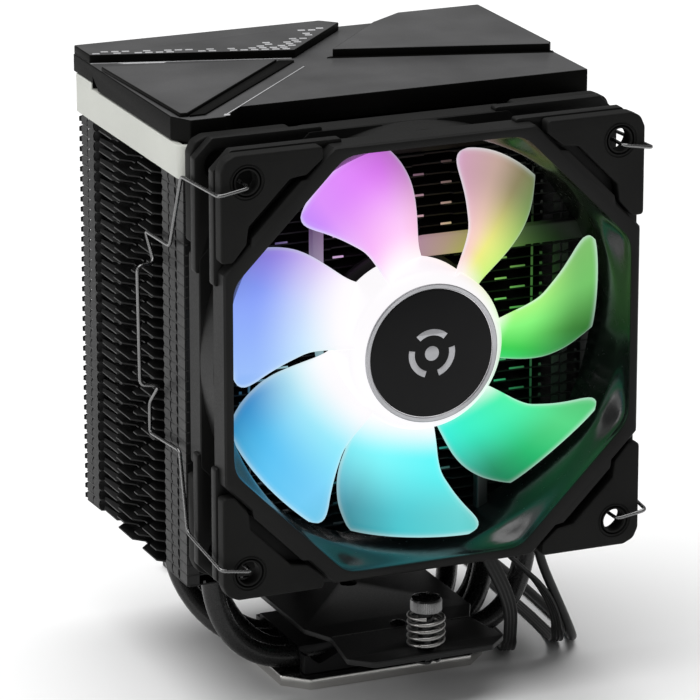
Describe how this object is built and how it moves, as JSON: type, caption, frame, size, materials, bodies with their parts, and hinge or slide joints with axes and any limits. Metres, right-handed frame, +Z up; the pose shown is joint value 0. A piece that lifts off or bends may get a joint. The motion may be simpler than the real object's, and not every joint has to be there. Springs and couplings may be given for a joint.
{
  "type": "cpu tower cooler",
  "caption": "Tower heatsink on U-shaped heat pipes with a clipped-on lit axial fan, two-tone plastic top and sprung base screws.",
  "frame": {"origin": "centre of the contact face under the base plate", "axes": "+Z up away from the processor, +Y along the air flow from the fan into the fins, +X to the right seen from the fan"},
  "size_m": [0.1321, 0.2261, 0.1644],
  "materials": {
    "nickel_plate": "nickel-plated copper base, fine machined face",
    "black_metal": "satin black coating over metal",
    "steel": "bright zinc-plated steel",
    "silver_trim": "satin silver ring and printed lines",
    "cover_plastic": "satin dark grey moulded plastic with near-black edges",
    "black_plastic": "fine textured black glass-filled plastic",
    "diffuser": "milky pale grey light diffuser",
    "board": "black-green solder mask",
    "rubber": "matte black soft rubber",
    "translucent_plastic": "frosted translucent plastic, lit from the hub in many colours",
    "magnet": "dark bonded ferrite",
    "bronze": "sintered bronze",
    "copper_wire": "enamelled copper winding",
    "cable_sleeve": "soft black lead insulation",
    "tie_plastic": "black reusable tie"
  },
  "bodies": {
    "root": {"base_plate": "nickel_plate", "base_block": "black_metal", "crossbar": "black_metal", "heat_pipe_1": "black_metal", "heat_pipe_2": "black_metal", "heat_pipe_3": "black_metal", "heat_pipe_4": "black_metal", "fin_stack": "black_metal", "crossbar_screw_front": "steel", "crossbar_screw_rear": "steel", "screw_spring_front": "steel", "screw_spring_rear": "steel", "top_cover": "cover_plastic", "cover_plate_rear_left": "cover_plastic", "cover_plate_rear_right": "cover_plastic", "cover_plate_triangle": "cover_plastic", "cover_tray": "black_plastic", "fan_frame": "black_plastic", "lead_retainer": "black_plastic", "fan_lead_plug": "black_plastic", "fan_light_lead_plug": "black_plastic", "cover_light_lead_plug": "black_plastic", "light_diffuser_left": "diffuser", "light_diffuser_right": "diffuser", "light_strip_left": "board", "light_strip_right": "board", "motor_board": "board", "front_pad_top_left": "rubber", "front_pad_top_right": "rubber", "front_pad_bottom_left": "rubber", "front_pad_bottom_right": "rubber", "rear_pad_top_left": "rubber", "rear_pad_top_right": "rubber", "rear_pad_bottom_left": "rubber", "rear_pad_bottom_right": "rubber", "shaft_bearing": "bronze", "motor_coils": "copper_wire", "fan_lead": "cable_sleeve", "fan_light_lead": "cable_sleeve", "cover_light_lead": "cable_sleeve", "fan_lead_coil": "cable_sleeve", "fan_light_lead_coil": "cable_sleeve", "cover_light_lead_coil": "cable_sleeve", "fan_lead_tie": "tie_plastic", "fan_light_lead_tie": "tie_plastic", "cover_light_lead_tie": "tie_plastic"},
    "rotor": {"impeller": "translucent_plastic", "hub_ring": "silver_trim", "hub_badge": "black_plastic", "magnet_ring": "magnet", "motor_shaft": "steel"},
    "clip_left": {"wire_clip_left": "steel"},
    "clip_right": {"wire_clip_right": "steel"},
    "screw_carrier_front": {"retaining_clip_front": "steel"},
    "screw_front": {"spring_screw_front": "steel"},
    "screw_carrier_rear": {"retaining_clip_rear": "steel"},
    "screw_rear": {"spring_screw_rear": "steel"}
  },
  "joints": [
    {"name": "fan_spin", "type": "hinge", "parent": "root", "child": "rotor", "pos_m": [0, -0.0365, 0.0995], "axis": [0, 1, 0], "continuous": true},
    {"name": "clip_left_swing", "type": "hinge", "parent": "root", "child": "clip_left", "pos_m": [-0.0525, -0.049, 0.0995], "axis": [0, 0, 1], "range_deg": [0, 20]},
    {"name": "clip_right_swing", "type": "hinge", "parent": "root", "child": "clip_right", "pos_m": [0.0525, -0.049, 0.0995], "axis": [0, 0, -1], "range_deg": [0, 20]},
    {"name": "screw_front_press", "type": "slide", "parent": "root", "child": "screw_carrier_front", "axis": [0, 0, -1], "range_m": [0, 0.004], "stiffness_N_per_m": 3000, "deforming": ["screw_spring_front"]},
    {"name": "screw_front_turn", "type": "hinge", "parent": "screw_carrier_front", "child": "screw_front", "pos_m": [0, -0.0437, 0.0289], "axis": [0, 0, 1], "continuous": true},
    {"name": "screw_rear_press", "type": "slide", "parent": "root", "child": "screw_carrier_rear", "axis": [0, 0, -1], "range_m": [0, 0.004], "stiffness_N_per_m": 3000, "deforming": ["screw_spring_rear"]},
    {"name": "screw_rear_turn", "type": "hinge", "parent": "screw_carrier_rear", "child": "screw_rear", "pos_m": [0, 0.0437, 0.0289], "axis": [0, 0, 1], "continuous": true}
  ]
}
